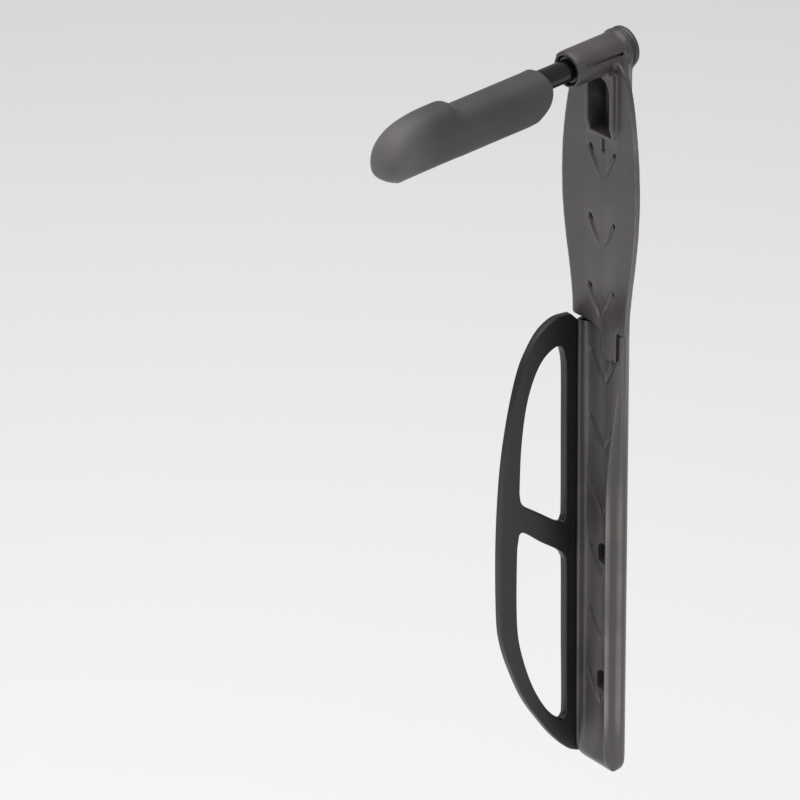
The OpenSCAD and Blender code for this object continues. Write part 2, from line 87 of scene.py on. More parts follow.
def smooth_curve(points: Array, steps: int, closed: bool) -> Array:
    """Carry a Catmull-Rom curve through points: each span is a cubic whose end
    directions are half the chord between its neighbours.

    Args:
        points: Control points, one per row.
        steps: Points made for each span.
        closed: Whether the last point joins the first.

    Returns:
        The points of the curve, one per row.
    """
    p = np.asarray(points, float)
    if closed:
        a, b, c, d = (np.roll(p, shift, axis=0) for shift in (1, 0, -1, -2))
    else:
        wide = np.vstack([p[:1], p, p[-1:]])
        a, b, c, d = wide[:-3], wide[1:-2], wide[2:-1], wide[3:]
    t = (np.arange(steps) / steps)[None, :, None]
    a, b, c, d = (q[:, None, :] for q in (a, b, c, d))
    spans = 0.5 * (
        2 * b
        + (c - a) * t
        + (2 * a - 5 * b + 4 * c - d) * t**2
        + (3 * b - a - 3 * c + d) * t**3
    )
    curve = spans.reshape(-1, p.shape[1])
    return curve if closed else np.vstack([curve, p[-1:]])


def rounded_loops(corners: Array, radii: Array, arc: int, between: list[int]) -> Array:
    """Turn loops of corners into closed outlines with rounded corners. Each corner is
    a quadratic curve from radius before it to radius after it, and the straight runs
    between corners are split evenly.

    Args:
        corners: Shape (loops, corners, 2).
        radii: Rounding of each corner.
        arc: Points on each corner.
        between: Extra points on the straight run after each corner.

    Returns:
        Shape (loops, points, 2).
    """
    before = np.roll(corners, 1, axis=1) - corners
    after = np.roll(corners, -1, axis=1) - corners
    reach_b = np.linalg.norm(before, axis=2, keepdims=True)
    reach_a = np.linalg.norm(after, axis=2, keepdims=True)
    r = np.asarray(radii, float)[None, :, None]
    start = corners + before / reach_b * np.minimum(r, reach_b * 0.45)
    end = corners + after / reach_a * np.minimum(r, reach_a * 0.45)
    t = np.linspace(0.0, 1.0, arc)[None, :, None]
    parts = []
    for k, extra in enumerate(between):
        a, c, b = (q[:, k : k + 1, :] for q in (start, corners, end))
        parts.append((1 - t) ** 2 * a + 2 * t * (1 - t) * c + t**2 * b)
        following = np.roll(start, -1, axis=1)[:, k : k + 1, :]
        s = (np.arange(1, extra + 1) / (extra + 1))[None, :, None]
        parts.append(b + (following - b) * s)
    return np.concatenate(parts, axis=1)


def blend_min(a: Array, b: Array, radius: float) -> Array:
    """Join two distance fields, filling the corner between them with a fillet.

    Args:
        a: Distance to the first shape.
        b: Distance to the second shape.
        radius: Size of the fillet.

    Returns:
        Distance to both together: the lower of the two, less a cubic bump where they
        are closer to each other than the radius.
    """
    h = np.maximum(radius - np.abs(a - b), 0.0) / radius
    return np.minimum(a, b) - h**3 * radius / 6.0


def blend_max(a: Array, b: Array, radius: float) -> Array:
    """Keep what two distance fields share, with its edge rounded by radius."""
    return -blend_min(-a, -b, radius)


def bar_field(p: "Grid", radius: Array | float, near: float, far: float, axis_h: float) -> Array:
    """Distance to a round bar along Y at height axis_h, from near to far off the wall.

    Args:
        p: Grid of positions.
        radius: Bar radius, which may change along Y.
        near: Distance of its back end from the wall.
        far: Distance of its front end from the wall.
        axis_h: Height of its axis.

    Returns:
        The larger of the distance from the curved side and from the two ends.
    """
    side = np.hypot(p.x, p.z - axis_h) - radius
    ends = np.maximum(-p.y - far, near + p.y)
    return blend_max(side, ends, 0.9)


def outline_field(u: Array, v: Array, corners: Array) -> Array:
    """Signed distance in a plane to a polygon, negative inside.

    Args:
        u: First coordinate of the places measured.
        v: Second coordinate.
        corners: Polygon corners, one per row.

    Returns:
        The distance to the nearest edge, signed by how often a level line crosses
        the outline.
    """
    best = np.full(np.broadcast(u, v).shape, 1e9)
    inside = np.zeros(best.shape, bool)
    for (ax, ay), (bx, by) in zip(corners, np.roll(corners, -1, axis=0)):
        ex, ey = bx - ax, by - ay
        t = np.clip(((u - ax) * ex + (v - ay) * ey) / (ex * ex + ey * ey), 0.0, 1.0)
        best = np.minimum(best, np.hypot(u - ax - t * ex, v - ay - t * ey))
        if ay != by:
            crosses = (ay > v) != (by > v)
            inside ^= crosses & (u < ax + (v - ay) * ex / ey)
    return np.where(inside, -best, best)


def spaced(*stops: float) -> Array:
    """Number line in three or two stretches.

    Args:
        *stops: Start, end and step of the first stretch, start, end and step of the
            next, then for a third stretch its end and step.

    Returns:
        The positions, each one once.
    """
    first = np.arange(stops[0], stops[1] - 0.01, stops[2])
    second = np.arange(stops[3], stops[4] - 0.01, stops[5])
    parts = [first, second]
    if len(stops) > 6:
        parts.append(np.arange(stops[4], stops[6] + stops[7], stops[7]))
    return np.concatenate(parts)


@dataclass
class Grid:
    """Positions on a block of points, as three arrays that broadcast. The spacing may
    change along each axis."""

    axes: tuple[Array, Array, Array]
    x: Array = field(init=False)
    y: Array = field(init=False)
    z: Array = field(init=False)

    def __post_init__(self) -> None:
        """Lay the three axes out so that they broadcast to the whole block."""
        self.x = self.axes[0][:, None, None]
        self.y = self.axes[1][None, :, None]
        self.z = self.axes[2][None, None, :]

    def full(self, value: Array) -> Array:
        """Spread a broadcastable value over the whole block."""
        return np.broadcast_to(value, (self.x.shape[0], self.y.shape[1], self.z.shape[2]))

    def skin(self, value: Array) -> tuple[Array, Array]:
        """Mesh the surface where a distance field is zero. Each cell that the surface
        crosses gets one point, the mean of the crossings on its twelve edges, and each
        grid edge that it crosses gets one four-sided face between the cells around it.

        Args:
            value: Distance at each grid position, negative inside.

        Returns:
            Points, one per row, and faces as rows of four point numbers.
        """
        inside = value < 0
        shape = tuple(n - 1 for n in value.shape)
        total = np.zeros(shape + (3,), np.float32)
        count = np.zeros(shape, np.float32)
        for axis in range(3):
            lower = [slice(None)] * 3
            upper = [slice(None)] * 3
            lower[axis], upper[axis] = slice(None, -1), slice(1, None)
            a, b = value[tuple(lower)], value[tuple(upper)]
            cross = (a < 0) != (b < 0)
            t = np.where(cross, a / np.where(cross, a - b, 1.0), 0.0).astype(np.float32)
            others = [k for k in range(3) if k != axis]
            for i in (0, 1):
                for j in (0, 1):
                    pick = [slice(None)] * 3
                    pick[others[0]] = slice(i, shape[others[0]] + i)
                    pick[others[1]] = slice(j, shape[others[1]] + j)
                    hit = cross[tuple(pick)]
                    total[..., axis] += t[tuple(pick)] * hit
                    total[..., others[0]] += i * hit
                    total[..., others[1]] += j * hit
                    count += hit
        used = count > 0
        cells = np.argwhere(used)
        number = np.full(shape, -1)
        number[used] = np.arange(len(cells))
        at = cells + total[used] / count[used][:, None]
        points = np.stack(
            [np.interp(at[:, k], np.arange(len(axis)), axis) for k, axis in enumerate(self.axes)], axis=1
        )
        faces = []
        for axis in range(3):
            lower = [slice(1, -1)] * 3
            upper = [slice(1, -1)] * 3
            lower[axis], upper[axis] = slice(0, -1), slice(1, None)
            a, b = inside[tuple(lower)], inside[tuple(upper)]
            u, v = [(axis + 1) % 3, (axis + 2) % 3]
            at = np.argwhere(a != b)
            at[:, [u, v]] += 1
            ring = []
            for du, dv in ((1, 1), (0, 1), (0, 0), (1, 0)):
                cell = at.copy()
                cell[:, u] -= du
                cell[:, v] -= dv
                ring.append(number[tuple(cell.T)])
            quad = np.stack(ring, axis=1)
            outward = a[a != b]
            faces.append(np.where(outward[:, None], quad, quad[:, ::-1]))
        return points, np.concatenate(faces)


def relaxed(points: Array, faces: Array, rounds: int) -> Array:
    """Even out a mesh: each round moves every point half way to the mean of the points
    that share an edge with it.

    Args:
        points: Mesh points.
        faces: Four-sided faces.
        rounds: How many times to do it.

    Returns:
        The moved points.
    """
    a = np.concatenate([faces[:, k] for k in range(4)])
    b = np.concatenate([faces[:, (k + 1) % 4] for k in range(4)])
    links = np.bincount(a, minlength=len(points)) + np.bincount(b, minlength=len(points))
    for _ in range(rounds):
        total = np.stack(
            [
                np.bincount(a, points[b, k], len(points)) + np.bincount(b, points[a, k], len(points))
                for k in range(3)
            ],
            axis=1,
        )
        points = 0.5 * points + 0.5 * total / links[:, None]
    return points


# ---------------------------------------------------------------- meshes


def new_piece(name: str, points: Array, faces: list[Array], sharp_deg: float = 38.0) -> bpy.types.Object:
    """Make an object from points in millimetres and faces.

    Args:
        name: Name of the object and its mesh.
        points: Shape (points, 3), heights from the origin.
        faces: Arrays of point numbers, one row per face, each array of one face size.
        sharp_deg: Edges that fold by more than this stay crisp.

    Returns:
        The object, with its mesh in metres.
    """
    mesh = bpy.data.meshes.new(name)
    sizes = np.concatenate([np.full(len(f), f.shape[1]) for f in faces])
    corners = np.concatenate([f.ravel() for f in faces]).astype(np.int32)
    mesh.vertices.add(len(points))
    mesh.vertices.foreach_set("co", (points * MM).astype(np.float32).ravel())
    mesh.loops.add(len(corners))
    mesh.loops.foreach_set("vertex_index", corners)
    mesh.polygons.add(len(sizes))
    starts = np.concatenate([[0], np.cumsum(sizes)[:-1]]).astype(np.int32)
    mesh.polygons.foreach_set("loop_start", starts)
    mesh.polygons.foreach_set("use_smooth", np.ones(len(sizes), bool))
    mesh.update(calc_edges=True)
    mesh.validate()
    mesh.set_sharp_from_angle(angle=math.radians(sharp_deg))
    piece = bpy.data.objects.new(name, mesh)
    bpy.context.scene.collection.objects.link(piece)
    return piece


def tube_faces(rings: int, around: int) -> list[Array]:
    """Faces of a closed tube of rings, with a fan of triangles over each end.

    Args:
        rings: Number of rings.
        around: Points on each ring.

    Returns:
        The four-sided faces, then the triangles of both ends. The two end middles are
        the last two points.
    """
    i = np.arange(rings - 1)[:, None] * around
    j = np.arange(around)[None, :]
    k = (j + 1) % around
    sides = np.stack([i + j, i + k, i + around + k, i + around + j], axis=2).reshape(-1, 4)
    first, last = rings * around, rings * around + 1
    j, k = j[0], k[0]
    start = np.stack([k, j, np.full(around, first)], axis=1)
    tip = (rings - 1) * around
    end = np.stack([tip + j, tip + k, np.full(around, last)], axis=1)
    return [sides, np.concatenate([start, end])]


def tube_piece(name: str, rings: Array, sharp_deg: float = 38.0) -> bpy.types.Object:
    """Make a closed piece from rings of points, shape (rings, around, 3)."""
    count, around = rings.shape[:2]
    middles = np.stack([rings[0].mean(axis=0), rings[-1].mean(axis=0)])
    points = np.concatenate([rings.reshape(-1, 3), middles])
    faces = tube_faces(count, around)
    solid = np.einsum("ij,ij->", points[faces[0][:, 0]], np.cross(points[faces[0][:, 1]], points[faces[0][:, 2]]))
    solid += np.einsum("ij,ij->", points[faces[0][:, 0]], np.cross(points[faces[0][:, 2]], points[faces[0][:, 3]]))
    solid += np.einsum("ij,ij->", points[faces[1][:, 0]], np.cross(points[faces[1][:, 1]], points[faces[1][:, 2]]))
    if solid < 0:
        faces = [f[:, ::-1] for f in faces]
    return new_piece(name, points, faces, sharp_deg)


def turned_piece(name: str, profile: Array, axis_z: float, around: int = 96) -> bpy.types.Object:
    """Turn a closed profile about the hook's axis: each profile point, given as
    distance off the wall and radius, becomes a circle in X and Z.

    Args:
        name: Name of the piece.
        profile: Rows of (distance off the wall, radius), a closed loop.
        axis_z: Height of the axis above the origin.
        around: Points on each circle.

    Returns:
        The ring-shaped or solid piece.
    """
    angle = np.linspace(0.0, 2 * np.pi, around, endpoint=False)[None, :]
    off, radius = profile[:, 0:1], profile[:, 1:2]
    rings = np.stack(
        [radius * np.cos(angle), -off * np.ones_like(angle), axis_z + radius * np.sin(angle)], axis=2
    )
    if profile[0, 1] < 0.2 and profile[-1, 1] < 0.2:
        return tube_piece(name, rings)
    count = len(profile)
    i = np.arange(count)[:, None]
    j = np.arange(around)[None, :]
    i2, j2 = (i + 1) % count, (j + 1) % around
    faces = np.stack([i * around + j, i2 * around + j, i2 * around + j2, i * around + j2], axis=2)
    faces = faces.reshape(-1, 4)
    turning = np.sum(off[:, 0] * np.roll(radius[:, 0], -1) - np.roll(off[:, 0], -1) * radius[:, 0])
    if turning > 0:
        faces = faces[:, ::-1]
    return new_piece(name, rings.reshape(-1, 3), [faces])


def mark_vertices(piece: bpy.types.Object, name: str, values: Array) -> None:
    """Store one number for each point of a piece, for its material to read."""
    layer = piece.data.attributes.new(name, "FLOAT", "POINT")
    padded = np.zeros(len(piece.data.vertices), np.float32)
    padded[: len(values)] = values
    layer.data.foreach_set("value", padded)


# ---------------------------------------------------------------- finishes


def linear(hex_colour: str) -> tuple[float, float, float, float]:
    """Turn an sRGB hex colour into linear red, green, blue and an alpha of 1."""
    parts = [int(hex_colour[k : k + 2], 16) / 255 for k in (1, 3, 5)]
    turned = [c / 12.92 if c <= 0.04045 else ((c + 0.055) / 1.055) ** 2.4 for c in parts]
    return (turned[0], turned[1], turned[2], 1.0)


def add_node(
    tree: bpy.types.NodeTree, kind: str, settings: dict[str, Any] | None = None, **inputs: Any
) -> bpy.types.Node:
    """Add a node, set it and link it.

    Args:
        tree: Node tree of the material.
        kind: Blender's name for the node, without its ShaderNode start.
        settings: Properties of the node itself.
        **inputs: For each input, named with spaces as underscores, either a value or
            an output socket to link. in0, in1 and so on name an input by its number.

    Returns:
        The new node.
    """
    node = tree.nodes.new("ShaderNode" + kind)
    for key, value in (settings or {}).items():
        setattr(node, key, value)
    for key, value in inputs.items():
        numbered = key.startswith("in") and key[2:].isdigit()
        socket = node.inputs[int(key[2:]) if numbered else key.replace("_", " ")]
        if isinstance(value, bpy.types.NodeSocket):
            tree.links.new(value, socket)
        else:
            socket.default_value = value
    return node


def ramp(
    tree: bpy.types.NodeTree, source: bpy.types.NodeSocket, stops: list[tuple[float, Any]]
) -> bpy.types.NodeSocket:
    """Map a number to a colour or grey through stops.

    Args:
        tree: Node tree of the material.
        source: Number to map.
        stops: Pairs of position and either a hex colour or a grey from 0 to 1.

    Returns:
        The colour output.
    """
    node = add_node(tree, "ValToRGB", None, Fac=source)
    marks = node.color_ramp.elements
    while len(marks) < len(stops):
        marks.new(0.5)
    for mark, (place, tone) in zip(marks, stops):
        mark.position = place
        mark.color = linear(tone) if isinstance(tone, str) else (tone, tone, tone, 1.0)
    return node.outputs["Color"]


def noise(tree: bpy.types.NodeTree, place: bpy.types.NodeSocket, scale: float, detail: float,
          rough: float = 0.5) -> bpy.types.NodeSocket:
    """Add a noise pattern at a scale in cycles a metre and return its strength."""
    return add_node(
        tree, "TexNoise", None, Vector=place, Scale=scale, Detail=detail, Roughness=rough
    ).outputs["Fac"]


def varied(tree: bpy.types.NodeTree, source: bpy.types.NodeSocket, low: float, high: float,
           start: float = 0.3, end: float = 0.7) -> bpy.types.NodeSocket:
    """Map a pattern between start and end to a roughness between low and high."""
    return add_node(
        tree, "MapRange", None, Value=source, From_Min=start, From_Max=end, To_Min=low, To_Max=high
    ).outputs["Result"]


def started(name: str) -> tuple[bpy.types.Material, bpy.types.NodeTree, bpy.types.NodeSocket]:
    """Start a material on Object coordinates: the material, its tree and the place."""
    made = bpy.data.materials.new(name)
    made.use_nodes = True
    tree = made.node_tree
    return made, tree, add_node(tree, "TexCoord").outputs["Object"]


def joined(
    made: bpy.types.Material, colour: bpy.types.NodeSocket, rough: bpy.types.NodeSocket | float,
    relief: bpy.types.NodeSocket, deep: float, strength: float, **settings: float,
) -> bpy.types.Material:
    """Join the patterns to the shader.

    Args:
        made: The material.
        colour: Base colour.
        rough: Roughness, a pattern or one value.
        relief: Height of the fine surface relief.
        deep: Depth of the relief in metres.
        strength: How much of the relief is felt.
        **settings: Other shader inputs, with spaces as underscores.

    Returns:
        The finished material.
    """
    tree = made.node_tree
    shader = tree.nodes["Principled BSDF"]
    bump = add_node(tree, "Bump", None, Height=relief, Distance=deep, Strength=strength).outputs["Normal"]
    tree.links.new(colour, shader.inputs["Base Color"])
    tree.links.new(bump, shader.inputs["Normal"])
    if isinstance(rough, float):
        shader.inputs["Roughness"].default_value = rough
    else:
        tree.links.new(rough, shader.inputs["Roughness"])
    for key, value in settings.items():
        shader.inputs[key.replace("_", " ")].default_value = value
    return made


class RubAndHighlight(Enum):
    """Which paler marks a moulded piece carries: none at all, or real tyre rub together with painted highlights along
    edges.
    """

    NONE = "none"
    TYRE_RUB_AND_HIGHLIGHT = "rub_and_highlight"


@dataclass(frozen=True)
class MouldedNylon:
    """Glass-filled nylon, injection moulded in a spark-eroded tool: dark warm grey,
    satin, with a fine even grain, faint cloudy flow marks, and paler, smoother places
    where a tyre has worn it; the same paler tone is also a painted highlight along edges."""

    name: str
    body: str = "#3f3c3b"
    cloud: str = "#4a4645"
    # paler tone for real tyre rub and for the painted highlights along edges
    rub_and_highlight_tone: str = "#7b7775"
    grain_mm: float = 0.45  # real grain is 0.1 mm; drawn coarse enough to show
    cloud_mm: float = 26.0
    roughness: float = 0.36
    rub_and_highlight_kind: RubAndHighlight = RubAndHighlight.TYRE_RUB_AND_HIGHLIGHT

    def material(self) -> bpy.types.Material:
        """Build the material."""
        made, tree, place = started(self.name)
        grain = noise(tree, place, 1 / (self.grain_mm * MM), 2.0, 0.55)
        pores = add_node(
            tree, "TexVoronoi", {"feature": "F1"}, Vector=place, Scale=0.8 / (self.grain_mm * MM), Randomness=1.0
        ).outputs["Distance"]
        clouds = noise(tree, place, 1 / (self.cloud_mm * MM), 4.0, 0.6)
        colour = ramp(tree, clouds, [(0.3, self.body), (0.75, self.cloud)])
        speck = ramp(tree, grain, [(0.35, 0.86), (0.65, 1.0)])
        colour = add_node(
            tree, "Mix", {"data_type": "RGBA", "blend_type": "MULTIPLY"}, in0=1.0, in6=colour, in7=speck
        ).outputs[2]
        rough = varied(tree, grain, self.roughness - 0.05, self.roughness + 0.07)
        if self.rub_and_highlight_kind is not RubAndHighlight.NONE:
            # paler and smoother where the attribute marks real tyre rub and painted edge highlights
            rub_and_highlight = add_node(tree, "Attribute", {"attribute_name": self.rub_and_highlight_kind.value}).outputs["Fac"]
            patch = ramp(tree, clouds, [(0.35, 0.35), (0.65, 1.0)])
            amount = add_node(tree, "Math", {"operation": "MULTIPLY"}, in0=rub_and_highlight, in1=patch).outputs[0]
            colour = add_node(
                tree, "Mix", {"data_type": "RGBA"}, in0=amount, in6=colour, in7=linear(self.rub_and_highlight_tone)
            ).outputs[2]
            rough = add_node(
                tree, "Math", {"operation": "MULTIPLY_ADD", "use_clamp": True}, in0=amount, in1=-0.12, in2=rough
            ).outputs[0]
        relief = add_node(tree, "Math", {"operation": "MULTIPLY_ADD"}, in0=pores, in1=0.5, in2=grain).outputs[0]
        return joined(made, colour, rough, relief, 0.00005, 0.55, IOR=1.53, Specular_IOR_Level=0.55)


@dataclass(frozen=True)
class PowderCoat:
    """Mild steel plate under baked black powder coat: near black, satin, with the soft
    orange-peel ripple that powder leaves."""

    name: str = "black powder coat on steel"
    body: str = "#0e0d0e"
    bloom: str = "#161516"
    ripple_mm: float = 0.9
    bloom_per_m: float = 35.0
    roughness: float = 0.4

    def material(self) -> bpy.types.Material:
        """Build the material."""
        made, tree, place = started(self.name)
        ripple = noise(tree, place, 1 / (self.ripple_mm * MM), 1.0, 0.4)
        bloom = noise(tree, place, self.bloom_per_m, 3.0)
        colour = ramp(tree, bloom, [(0.35, self.body), (0.75, self.bloom)])
        rough = varied(tree, bloom, self.roughness - 0.04, self.roughness + 0.06)
        return joined(made, colour, rough, ripple, 0.00006, 0.5, IOR=1.5)


@dataclass(frozen=True)
class GlossEnamel:
    """Steel rod dipped in stoved gloss black enamel: deep black with a sharp
    reflection, a slight sag in the film and a few worn hairlines."""

    name: str = "stoved gloss black enamel"
    body: str = "#0a0a0a"
    worn: str = "#1d1c1b"
    sag_per_m: float = 260.0
    roughness: float = 0.12

    def material(self) -> bpy.types.Material:
        """Build the material."""
        made, tree, place = started(self.name)
        along = add_node(tree, "Mapping", None, Vector=place, Scale=(900.0, 90.0, 900.0)).outputs["Vector"]
        lines = noise(tree, along, 1.0, 3.0)
        sag = noise(tree, place, self.sag_per_m, 1.0)
        colour = ramp(tree, lines, [(0.55, self.body), (0.8, self.worn)])
        rough = varied(tree, lines, self.roughness, self.roughness + 0.14, 0.35, 0.75)
        return joined(made, colour, rough, sag, 0.00012, 0.35, IOR=1.52)


@dataclass(frozen=True)
class SoftRubber:
    """Moulded thermoplastic rubber: dark grey, dull, with fine pores, a faint cloudy
    bloom, and a paler tip that is a painted highlight where the tip faces the light."""

    name: str = "moulded soft rubber"
    body: str = "#343232"
    bloom: str = "#3c3a3a"
    tip_highlight_tone: str = "#5c5958"
    pore_mm: float = 0.5  # real pores are 0.1 mm; drawn coarse enough to show
    clouds_per_m: float = 60.0
    roughness: float = 0.58

    def material(self) -> bpy.types.Material:
        """Build the material."""
        made, tree, place = started(self.name)
        pores = noise(tree, place, 1 / (self.pore_mm * MM), 3.0, 0.6)
        clouds = noise(tree, place, self.clouds_per_m, 3.0)
        # the paler tip is a painted highlight, mixed in where the sleeve's tip is marked
        tip_highlight = add_node(tree, "Attribute", {"attribute_name": "tip_highlight"}).outputs["Fac"]
        colour = ramp(tree, clouds, [(0.3, self.body), (0.7, self.bloom)])
        patch = ramp(tree, clouds, [(0.3, 0.75), (0.6, 1.0)])
        amount = add_node(tree, "Math", {"operation": "MULTIPLY"}, in0=tip_highlight, in1=patch).outputs[0]
        colour = add_node(
            tree, "Mix", {"data_type": "RGBA"}, in0=amount, in6=colour, in7=linear(self.tip_highlight_tone)
        ).outputs[2]
        rough = varied(tree, pores, self.roughness - 0.05, self.roughness + 0.08)
        return joined(
            made, colour, rough, pores, 0.00006, 0.6, IOR=1.51, Sheen_Weight=0.08, Sheen_Roughness=0.5
        )


@dataclass(frozen=True)
class ZincPlate:
    """Bright zinc plate on turned or pressed steel: cool grey metal with a faint
    clouded passivation and fine turning lines."""

    name: str = "bright zinc plate on steel"
    light: str = "#c9cbd0"
    dark: str = "#9b9da3"
    clouds_per_m: float = 420.0
    roughness: float = 0.3

    def material(self) -> bpy.types.Material:
        """Build the material."""
        made, tree, place = started(self.name)
        clouds = noise(tree, place, self.clouds_per_m, 4.0)
        colour = ramp(tree, clouds, [(0.3, self.dark), (0.7, self.light)])
        rough = varied(tree, clouds, self.roughness - 0.06, self.roughness + 0.1)
        return joined(made, colour, rough, clouds, 0.00002, 0.3, Metallic=1.0)


@dataclass(frozen=True)
class BlackAcetal:
    """Black acetal, turned and slippery: dark, smooth, with faint tool rings."""

    name: str = "turned black acetal"
    body: str = "#141414"
    worn: str = "#1c1c1c"
    ring_mm: float = 0.35
    roughness: float = 0.3

    def material(self) -> bpy.types.Material:
        """Build the material."""
        made, tree, place = started(self.name)
        rings = add_node(
            tree, "TexWave", {"bands_direction": "Y"}, Vector=place, Scale=1 / (self.ring_mm * MM * 20), Distortion=0.4
        ).outputs["Fac"]
        tint = ramp(tree, rings, [(0.2, self.body), (0.9, self.worn)])
        return joined(made, tint, self.roughness, rings, 0.00002, 0.4, IOR=1.48)


def dress(piece: bpy.types.Object, material: bpy.types.Material) -> None:
    """Give a piece one material all over."""
    piece.data.materials.clear()
    piece.data.materials.append(material)


# ---------------------------------------------------------------- shared measures


@dataclass
class Layout:
    """Where the rack's parts stand, read from the frame."""

    foot_z: float
    axis_h: float
    rail_len: float
    lip_y: float = 14.5
    groove_y: float = 9.8
    flank: float = 0.12
    leaf_step: float = 1.6
    leaf_t: float = 2.4
    back_t: float = 2.5
    rail_half_w: float = 11.5
    wall_t: float = 2.0
    rod_r: float = 4.5
    collar_len: float = 32.0
    slot_r: float = 2.25
    slot_len: float = 9.0
    slot_h: tuple[float, ...] = (44.0, 108.0, 314.0)
    mark_count: int = 9
    mark_top: float = 290.5
    mark_pitch: float = 31.5

    @property
    def leaf_y(self) -> float:
        """How far the leaf's middle line stands out from the wall."""
        return self.groove_y + self.leaf_step

    @property
    def mark_heights(self) -> Array:
        """Heights of the middles of the tread marks, top one first."""
        return self.mark_top - self.mark_pitch * np.arange(self.mark_count)

    def lifted(self, points: Array) -> Array:
        """Move points from heights above the foot to heights above the origin."""
        return points + np.array([0.0, 0.0, self.foot_z])

    def mark_depth(self, x: Array, h: Array) -> Array:
        """Depth of the tread marks at a place: each arm is a bar from the middle line
        up and outwards, deepest at its outer end and fading towards the point of the V.

        Args:
            x: Distance across from the middle.
            h: Height above the foot.

        Returns:
            Depth in millimetres.
        """
        depth = np.zeros(np.broadcast(x, h).shape)
        ax, ah, bx, bh = 0.7, -5.6, 6.9, 7.8
        span = (bx - ax) ** 2 + (bh - ah) ** 2
        for middle in self.mark_heights:
            u, v = np.abs(x) - ax, h - middle - ah
            t = np.clip((u * (bx - ax) + v * (bh - ah)) / span, 0.0, 1.0)
            away = np.hypot(u - t * (bx - ax), v - t * (bh - ah))
            depth += (0.15 + 1.35 * t) * (1.0 - smooth_step(0.45, 1.15, away))
        return depth

    def slot_away(self, x: Array, h: Array, middle: float) -> Array:
        """Distance outside an upright wall screw slot, negative inside it."""
        rise = self.slot_len / 2 - self.slot_r
        return np.hypot(x, np.maximum(np.abs(h - middle) - rise, 0.0)) - self.slot_r


# ---------------------------------------------------------------- sub-assemblies


